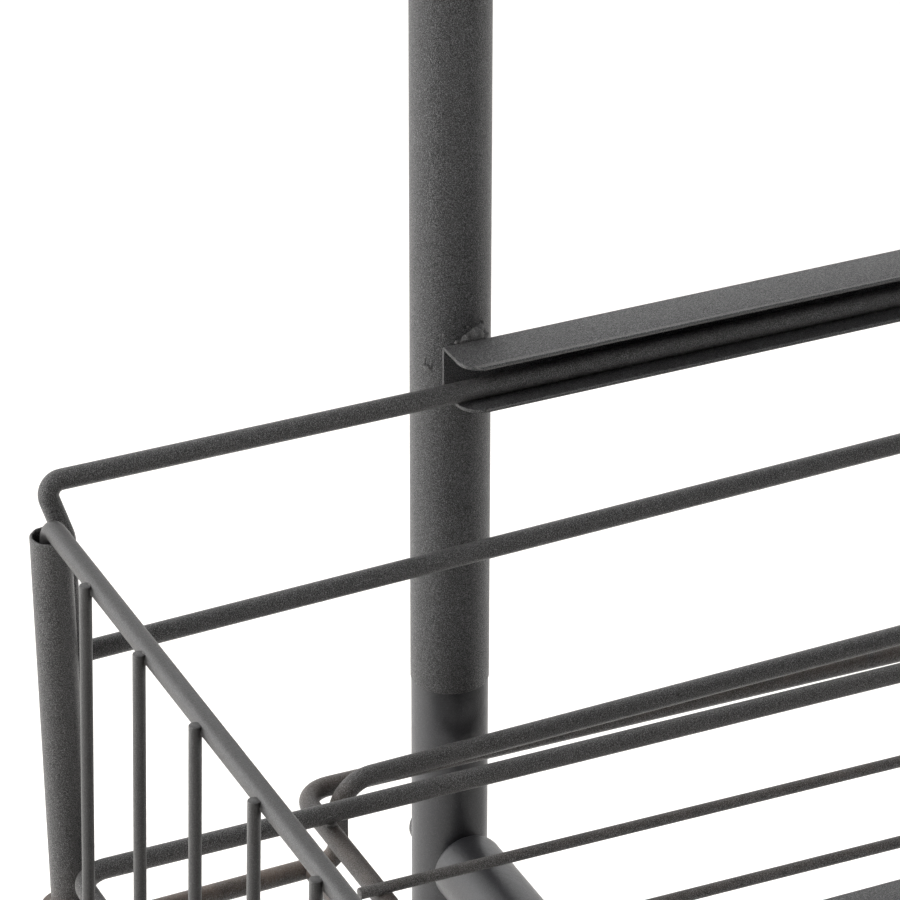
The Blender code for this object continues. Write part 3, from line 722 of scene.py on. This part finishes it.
MAIN_ROD_BENDS = [0, 0.004, 0.012, 0.007, 0.008, 0.008, 0.0045, 0.010]
SLEEVE_R = 0.00625
SLEEVE_WALL = 0.0011
SLEEVE_W = 0.036
SLEEVE_TOP_H = -0.0140
SLEEVE_BOTTOM_H = -0.1456
FOOT_R = 0.0097
FOOT_HEIGHT = 0.003


def wire_places(offsets):
    places = {SPACING_X / 2 + sign * offset for offset in offsets for sign in (-1, 1)}
    return sorted(places)


class Basket:
    """One basket's own measures: w in from the post, u back from the front uprights, h from the rail."""

    def __init__(self, level):
        self.level = level
        self.body = f"{level}_basket"
        low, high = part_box(f"rail_{level}_left")
        self.rail_z = (low.z + high.z) / 2
        # Both baskets' main rods have the same shape, so their boxes differ by how far this one is out.
        closed_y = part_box("lower_basket_main_rod")[0].y
        pull = closed_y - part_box(f"{level}_basket_main_rod")[0].y
        self.front_y = post_place["front", "left"].y + CLOSED_FRONT_U - pull

    def point(self, side, w, u, h):
        x = SIDES[side] * (SPACING_X / 2 - w)
        return Vector((x, self.front_y + u, self.rail_z + h))

    def both(self, half):
        left = [self.point("left", *place) for place in half]
        right = [self.point("right", *place) for place in half]
        return left + right[::-1]

    def node(self, name):
        return f"{self.level}_basket_{name}"

    def piece(self, name, builder, node=None):
        nodes = [self.node(node)] if node else ()
        coat = front_black if name == "front_grille" else wire_black
        return new_piece(f"{self.level}_{name}", builder, coat, self.body, nodes)


def make_main_rod(basket):
    half = [
        (RING_W - 2 * ROD_R - 0.0003, REAR_FLOOR_END_U, REAR_FLOOR_H),
        (SIDE_W, REAR_FLOOR_END_U, REAR_FLOOR_H),
        (SIDE_W, STEP_U, STEP_TOP_H),
        (SIDE_W, STEP_U, STEP_FOOT_H),
        (SIDE_W, UPRIGHT_FOOT_U, FRONT_FLOOR_H),
        (SIDE_W, UPRIGHT_TOP_U, UPRIGHT_TOP_H),
        (RIM_W, RIM_FRONT_U, RIM_H),
        (RIM_W, BASKET_LENGTH, RIM_H),
    ]
    corners = basket.both(half)
    path = rounded_path(corners, MAIN_ROD_BENDS + MAIN_ROD_BENDS[::-1], 14)
    builder = bmesh.new()
    sweep(builder, split_long(path), ROD_R, ROD_SIDES)
    basket.piece("main_rod", builder, "main_rod")


def make_mid_rod(basket):
    start_u = ROD_R * 0.6
    half = [(SIDE_W, start_u, MID_ROD_FRONT_H), (SIDE_W, BASKET_LENGTH, MID_ROD_BACK_H)]
    path = rounded_path(basket.both(half), ROD_BEND)
    builder = bmesh.new()
    sweep(builder, split_long(path), ROD_R, ROD_SIDES)
    basket.piece("mid_rod", builder, "mid_rod")


def make_floor_ring(basket):
    half = [(RING_W, RING_FRONT_U, RING_FRONT_H), (RING_W, BASKET_LENGTH, RING_BACK_H)]
    path = rounded_path(basket.both(half), ROD_BEND, cyclic=True)
    builder = bmesh.new()
    sweep(builder, split_long(path, cyclic=True), ROD_R, ROD_SIDES, cyclic=True)
    basket.piece("floor_ring", builder, "floor_ring")


def make_floor_grid(basket):
    half = [(BEARER_W, BEARER_FRONT_U, BEARER_FRONT_H), (BEARER_W, BEARER_BACK_U, BEARER_BACK_H)]
    path = rounded_path(basket.both(half), ROD_BEND, cyclic=True)
    builder = bmesh.new()
    sweep(builder, split_long(path, cyclic=True), ROD_R, ROD_SIDES, cyclic=True)
    touch = ROD_R + WIRE_R - SINK
    back_u = BASKET_LENGTH - ROD_R - WIRE_R - 0.0003
    for w in wire_places(FLOOR_WIRE_OFFSETS):
        corners = [
            basket.point("left", w, BEARER_FRONT_U - WIRE_OVERRUN, BEARER_FRONT_H + touch),
            basket.point("left", w, back_u, BEARER_BACK_H + touch),
            basket.point("left", w, back_u, RIM_H + 0.5 * ROD_R),
        ]
        sweep(builder, split_long(rounded_path(corners, WIRE_BEND)), WIRE_R, WIRE_SIDES, chamfer=0.0002)
        for u, h in ((BEARER_FRONT_U, BEARER_FRONT_H), (BEARER_BACK_U, BEARER_BACK_H)):
            weld = basket.point("left", w, u, h + ROD_R - 0.0002)
            blob(builder, weld, (0.0021, 0.0021, 0.0009), w * 100, 0.2)
    basket.piece("floor_grid", builder, "floor_grid")


def make_front_grille(basket):
    top = [
        basket.point("left", SLEEVE_W, FRONT_ROD_U, FRONT_ROD_H - FRONT_ROD_END),
        basket.point("left", SLEEVE_W, FRONT_ROD_U, FRONT_ROD_H),
        basket.point("right", SLEEVE_W, FRONT_ROD_U, FRONT_ROD_H),
        basket.point("right", SLEEVE_W, FRONT_ROD_U, FRONT_ROD_H - FRONT_ROD_END),
    ]
    touch = ROD_R + WIRE_R - SINK - 0.0003
    top_u = FRONT_ROD_U - touch
    bottom_u = top_u - FRONT_TILT
    low_rod_u = bottom_u + touch
    step_rod_u = STEP_U - 3 * ROD_R
    step_rod_w = SIDE_W + ROD_R
    builder = bmesh.new()
    sweep(builder, split_long(rounded_path(top, FRONT_ROD_BEND, 14)), ROD_R, ROD_SIDES)
    for w, u, h in ((SIDE_W, low_rod_u, FRONT_FLOOR_H), (step_rod_w, step_rod_u, STEP_FOOT_H)):
        path = [basket.point(side, w, u, h) for side in SIDES]
        sweep(builder, split_long(path), ROD_R, ROD_SIDES)
    for number in range(FRONT_WIRES):
        w = FIRST_FRONT_WIRE_W + number * FRONT_WIRE_PITCH
        corners = [
            basket.point("left", w, top_u, FRONT_ROD_H + 0.5 * ROD_R),
            basket.point("left", w, bottom_u, FRONT_FLOOR_H - touch),
            basket.point("left", w, STEP_U - ROD_R, STEP_FOOT_H - touch),
        ]
        sweep(builder, split_long(rounded_path(corners, WIRE_BEND)), WIRE_R, WIRE_SIDES, chamfer=0.0002)
        welds = (
            (FRONT_ROD_U - ROD_R + 0.0003, FRONT_ROD_H - 0.0004, (0.0020, 0.0009, 0.0021), 77),
            (low_rod_u - ROD_R + 0.0003, FRONT_FLOOR_H, (0.0020, 0.0009, 0.0019), 55),
            (step_rod_u, STEP_FOOT_H - ROD_R + 0.0003, (0.0020, 0.0020, 0.0009), 31),
        )
        for u, h, size, seed in welds:
            blob(builder, basket.point("left", w, u, h), size, w * seed, 0.2)
    basket.piece("front_grille", builder, "front_grille")


def make_sleeve(basket, side):
    inner = SLEEVE_R - SLEEVE_WALL
    length = SLEEVE_TOP_H - SLEEVE_BOTTOM_H
    rim = 0.00035
    edge = 0.0006
    sole = -length - FOOT_HEIGHT
    profile = [
        (0, -length + 0.001), (inner, -length + 0.001), (inner, -rim), (inner + rim, 0),
        (SLEEVE_R - rim, 0), (SLEEVE_R, -rim), (SLEEVE_R, -length + 0.0008), (SLEEVE_R + 0.0009, -length),
        (FOOT_R - edge, -length), (FOOT_R, -length - edge),
        (FOOT_R, sole + edge), (FOOT_R - edge, sole), (0, sole),
    ]
    lean = Matrix.Rotation(math.atan((UPRIGHT_FOOT_U - UPRIGHT_TOP_U) / length), 4, "X")
    place = basket.point(side, SLEEVE_W, FRONT_ROD_U, SLEEVE_TOP_H)
    builder = bmesh.new()
    turned(builder, profile, 64)
    # The cut top is slightly uneven.
    for vert in builder.verts:
        if vert.co.z > -0.002:
            turn = math.atan2(vert.co.y, vert.co.x)
            around = Vector((3 * math.cos(turn), 3 * math.sin(turn), side == "left"))
            vert.co.z += 0.00025 * noise.noise(around)
    bmesh.ops.transform(builder, matrix=Matrix.Translation(place) @ lean, verts=builder.verts)
    basket.piece(f"corner_sleeve_{side}", builder, f"corner_sleeve_{side}")


def make_basket_welds(basket):
    """Welds where one basket piece meets another."""
    builder = bmesh.new()
    for number, side in enumerate(SIDES):
        place = basket.point(side, SIDE_W, ROD_R, MID_ROD_FRONT_H)
        blob(builder, place, (0.0032, 0.0016, 0.0034), 1 + number, 0.15)
        for h, seed in ((-0.045, 3), (-0.125, 5)):
            place = basket.point(side, (SLEEVE_W + SIDE_W) / 2, FRONT_ROD_U / 2, h)
            blob(builder, place, (0.0016, 0.0016, 0.0060), seed + number, 0.2)
        place = basket.point(side, RING_W, BEARER_FRONT_U, (RING_FRONT_H + BEARER_FRONT_H) / 2 - 0.0002)
        blob(builder, place, (0.0022, 0.0022, 0.0012), 7 + number, 0.2)
    basket.piece("basket_welds", builder)


def make_shelf():
    low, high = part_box("top_shelf")
    x = high.x - ROD_R
    z = low.z + ROD_R
    front = post_place["front", "left"].y
    back = post_place["back", "left"].y
    corners = [(-x, front, z), (x, front, z), (x, back, z), (-x, back, z)]
    path = rounded_path(corners, ROD_BEND, cyclic=True)
    builder = bmesh.new()
    sweep(builder, split_long(path, cyclic=True), ROD_R, ROD_SIDES, cyclic=True)
    wire_z = z + ROD_R + WIRE_R - SINK
    for number in range(-3, 4):
        wire_x = number * 0.045
        path = [Vector((wire_x, front - ROD_R, wire_z)), Vector((wire_x, back + ROD_R, wire_z))]
        sweep(builder, split_long(path), WIRE_R, WIRE_SIDES, chamfer=0.0002)
        for y in (front, back):
            weld = Vector((wire_x, y, z + ROD_R - 0.0002))
            blob(builder, weld, (0.0021, 0.0021, 0.0009), number + y, 0.2)
    new_piece("shelf_grid", builder, wire_black, "cart_frame", ["top_shelf"])


# ---------------------------------------------------------------- casters


def make_plug(end, side):
    node = f"leg_plug_{end}_{side}"
    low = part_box(node)[0]
    place = post_place[end, side]
    flange = leg_low.z - low.z
    flange_r = LEG_R - 0.0001
    outline = [
        (0.0046, low.z + 0.02), (0.0106, low.z + 0.02), (0.0106, low.z + flange),
        (flange_r, low.z + flange), (flange_r, low.z), (0.0046, low.z),
    ]
    profile = fillet(outline, 0.0006)
    builder = bmesh.new()
    turned(builder, profile, 64, Matrix.Translation((place.x, place.y, 0)))
    new_piece(f"foot_plug_{end}_{side}", builder, plug_black, "cart_frame", [node])


def make_caster(end, side):
    label = f"{end}_{side}"
    body = f"caster_{label}"
    place = post_place[end, side]
    wheel_low, wheel_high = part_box(f"caster_wheel_{label}")
    axle = (wheel_low + wheel_high) / 2
    radius = (wheel_high.z - wheel_low.z) / 2
    half = (wheel_high.x - wheel_low.x) / 2
    along = Matrix.Translation(axle) @ ACROSS
    profile = [
        (0.0034, half), (0.0085, half), (0.0092, half - 0.0016), (0.0098, 0.0062),
        (0.0195, 0.0062), (0.0203, 0.0070), (0.0212, 0.0088),
        (radius - 0.0022, 0.0088), (radius - 0.0008, 0.0078), (radius, 0.0058),
        (radius, 0.0008), (radius - 0.0005, 0.0004),
    ]
    profile = fillet(profile + [(r, -h) for r, h in profile[::-1]], 0.0004, 2)
    builder = bmesh.new()
    turned(builder, profile, 96, along)
    for spoke in range(6):
        angle = spoke * math.pi / 3
        for sign in (1, -1):
            rib = bmesh.ops.create_cube(builder, size=1)
            shape = Matrix.Translation((0.0148, 0, sign * 0.0066))
            shape = shape @ Matrix.Diagonal((0.0105, 0.0014, 0.0016, 1))
            turn = along @ Matrix.Rotation(angle, 4, "Z") @ shape
            bmesh.ops.transform(builder, matrix=turn, verts=rib["verts"])
    node = f"caster_wheel_{label}"
    new_piece(f"wheel_tyre_{label}", builder, wheel_grey, f"wheel_{label}", [node])
    tip = 0.0150
    head = 0.0133
    rivet = [(0, tip), (0.0030, tip), (0.0048, tip - 0.0009), (0.0050, head), (0.0030, head)]
    rivet += [(r, -h) for r, h in rivet[::-1]]
    builder = bmesh.new()
    turned(builder, rivet, 40, along)
    new_piece(f"wheel_axle_{label}", builder, steel, body, [f"caster_axle_{label}"])
    low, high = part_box(f"caster_stem_{label}")
    base = low.z
    outline = [
        (0, high.z), (0.0036, high.z), (0.0040, high.z - 0.001), (0.0040, base + 0.0042),
        (0.0086, base + 0.0042), (0.0090, base + 0.0036), (0.0090, base + 0.0004), (0.0086, base), (0, base),
    ]
    stem = fillet(outline, 0.0003)
    builder = bmesh.new()
    turned(builder, stem, 48, Matrix.Translation((place.x, place.y, 0)))
    new_piece(f"stem_pin_{label}", builder, steel, body, [f"caster_stem_{label}"])
    smooth_cad(f"caster_fork_{label}", body, steel, f"fork_plate_{label}", 0.0004)
    if end == "front":
        node = f"brake_pedal_{label}"
        smooth_cad(node, f"brake_{label}", pedal_black, f"pedal_{label}", 0.0005)


def smooth_cad(node, body, material, name, width):
    """A copy of a CAD solid with its edges rounded."""
    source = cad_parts[node]
    mesh = source.data.copy()
    piece = bpy.data.objects.new(name, mesh)
    bpy.context.scene.collection.objects.link(piece)
    mesh.materials.clear()
    mesh.materials.append(material)
    builder = bmesh.new()
    builder.from_mesh(mesh)
    bmesh.ops.remove_doubles(builder, verts=builder.verts, dist=0.00001)
    bmesh.ops.dissolve_limit(builder, angle_limit=math.radians(1), verts=builder.verts, edges=builder.edges)
    builder.to_mesh(mesh)
    builder.free()
    edge = piece.modifiers.new("edge", "BEVEL")
    edge.width = width
    edge.segments = 2
    edge.limit_method = "ANGLE"
    edge.angle_limit = math.radians(40)
    apply_modifiers(piece)
    piece.data.shade_smooth()
    piece.data.set_sharp_from_angle(angle=math.radians(35))
    register(piece, body, [node])


# ---------------------------------------------------------------- make everything

for side_name in SIDES:
    make_hoop(side_name)
    for level_name in LEVELS:
        make_rail(level_name, side_name)
    for end_name in ENDS:
        make_leg(end_name, side_name)
        make_plug(end_name, side_name)
        make_bolt(end_name, side_name)
        make_caster(end_name, side_name)
for end_name in ENDS:
    for level_name in ("low", "middle", "top"):
        make_cross_tube(level_name, end_name)
make_saddles()
make_rail_welds()
make_post_mark()
make_shelf()
for level_name in LEVELS:
    one = Basket(level_name)
    make_main_rod(one)
    make_mid_rod(one)
    make_floor_ring(one)
    make_floor_grid(one)
    make_front_grille(one)
    make_basket_welds(one)
    for side_name in SIDES:
        make_sleeve(one, side_name)


# ---------------------------------------------------------------- stage, light and camera


def make_floor():
    builder = bmesh.new()
    bmesh.ops.create_grid(builder, x_segments=1, y_segments=1, size=15)
    mesh = bpy.data.meshes.new("floor")
    builder.to_mesh(mesh)
    builder.free()
    floor = bpy.data.objects.new("floor", mesh)
    bpy.context.scene.collection.objects.link(floor)
    floor.location.z = -0.0005
    pale = bpy.data.materials.new("floor_pale")
    pale.use_nodes = True
    shader = pale.node_tree.nodes["Principled BSDF"]
    shader.inputs["Base Color"].default_value = (0.86, 0.85, 0.83, 1)
    shader.inputs["Roughness"].default_value = 0.9
    shader.inputs["Specular IOR Level"].default_value = 0.1
    shader.inputs["Emission Color"].default_value = (1.0, 0.97, 0.94, 1)
    # It glows less on the side towards the camera, like a table whose far half is lit.
    nodes = pale.node_tree.nodes
    links = pale.node_tree.links
    place = nodes.new("ShaderNodeTexCoord")
    reach = nodes.new("ShaderNodeVectorMath")
    reach.operation = "DOT_PRODUCT"
    reach.inputs[1].default_value = dim_side
    links.new(place.outputs["Object"], reach.inputs[0])
    fade = nodes.new("ShaderNodeMapRange")
    fade.interpolation_type = "SMOOTHSTEP"
    fade.inputs["From Min"].default_value = 0.0
    fade.inputs["From Max"].default_value = 0.7
    fade.inputs["To Min"].default_value = FLOOR_GLOW
    fade.inputs["To Max"].default_value = 0.06 * FLOOR_GLOW
    links.new(reach.outputs["Value"], fade.inputs["Value"])
    links.new(fade.outputs["Result"], shader.inputs["Emission Strength"])
    floor.data.materials.append(pale)


def area_light(name, place, aim, width, height, power):
    data = bpy.data.lights.new(name, "AREA")
    data.shape = "RECTANGLE"
    data.size = width
    data.size_y = height
    data.energy = power
    light = bpy.data.objects.new(name, data)
    bpy.context.scene.collection.objects.link(light)
    light.location = place
    light.rotation_euler = (aim - place).to_track_quat("-Z", "Y").to_euler()


# Glow of the room's bright side and of the floor, as emission strengths
ROOM_GLOW = 1.45
FLOOR_GLOW = 0.42

VIEW_AZIMUTH = math.radians(65.12)
VIEW_ELEVATION = math.radians(28.95)
VIEW_ROLL = math.radians(0.08)
VIEW_DISTANCE = 1.557
AIM_DROP = 0.0326
LENS_MM = 200

forward = Vector((
    -math.sin(VIEW_AZIMUTH) * math.cos(VIEW_ELEVATION),
    math.cos(VIEW_AZIMUTH) * math.cos(VIEW_ELEVATION),
    -math.sin(VIEW_ELEVATION),
))
right = forward.cross(Vector((0, 0, 1))).normalized()
up = right.cross(forward)
# The direction, seen from the cart, in which the studio is dim
dim_side = (Vector((-forward.x, -forward.y, 0)).normalized() + 0.27 * right).normalized()


def make_camera():
    """Looks down at the left front post, a little below the upper rail."""
    post = post_place["front", "left"]
    rail_low, rail_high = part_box("rail_upper_left")
    rail_point = Vector((post.x, post.y, (rail_low.z + rail_high.z) / 2))
    data = bpy.data.cameras.new("camera")
    data.lens = LENS_MM
    data.sensor_width = 36
    data.clip_start = 0.05
    camera = bpy.data.objects.new("camera", data)
    bpy.context.scene.collection.objects.link(camera)
    camera.location = rail_point - forward * VIEW_DISTANCE - up * AIM_DROP
    turned_right = right * math.cos(VIEW_ROLL) + up * math.sin(VIEW_ROLL)
    turned_up = up * math.cos(VIEW_ROLL) - right * math.sin(VIEW_ROLL)
    basis = Matrix((turned_right, turned_up, -forward)).transposed()
    camera.rotation_euler = basis.to_euler()
    bpy.context.scene.camera = camera
    return rail_point


def make_world():
    """A white room that is bright behind the cart and dim on the camera's side."""
    world = bpy.data.worlds.new("studio")
    bpy.context.scene.world = world
    world.use_nodes = True
    nodes = world.node_tree.nodes
    links = world.node_tree.links
    back = nodes["Background"]
    back.inputs["Color"].default_value = (1, 1, 1, 1)
    place = nodes.new("ShaderNodeTexCoord")
    facing = nodes.new("ShaderNodeVectorMath")
    facing.operation = "DOT_PRODUCT"
    facing.inputs[1].default_value = -dim_side
    links.new(place.outputs["Generated"], facing.inputs[0])
    glow = nodes.new("ShaderNodeMapRange")
    glow.interpolation_type = "SMOOTHSTEP"
    glow.inputs["From Min"].default_value = -0.05
    glow.inputs["From Max"].default_value = 0.8
    glow.inputs["To Min"].default_value = 0.0
    glow.inputs["To Max"].default_value = ROOM_GLOW
    links.new(facing.outputs["Value"], glow.inputs["Value"])
    # The backdrop itself is plain white.
    seen = nodes.new("ShaderNodeLightPath")
    pick = nodes.new("ShaderNodeMix")
    pick.data_type = "FLOAT"
    pick.inputs["B"].default_value = 1.0
    links.new(seen.outputs["Is Camera Ray"], pick.inputs["Factor"])
    links.new(glow.outputs["Result"], pick.inputs["A"])
    links.new(pick.outputs["Result"], back.inputs["Strength"])


make_floor()
make_world()
rail_point = make_camera()
# Softboxes: name, offset from the rail by the left front post (right, forward, up), width, height, watts
SOFTBOXES = (
    ("key_near", (-1.25, -1.25, 0.5), 0.9, 1.6, 29),
    ("key_side", (-1.70, -0.10, 0.5), 1.4, 1.8, 27),
    ("fill_side", (1.70, -0.30, 0.3), 0.8, 1.6, 17),
)
for light_name, (to_right, to_front, to_up), light_width, light_height, watts in SOFTBOXES:
    light_place = rail_point + right * to_right + forward * to_front + up * to_up
    area_light(light_name, light_place, rail_point, light_width, light_height, watts)

bpy.context.scene.view_settings.view_transform = "Standard"
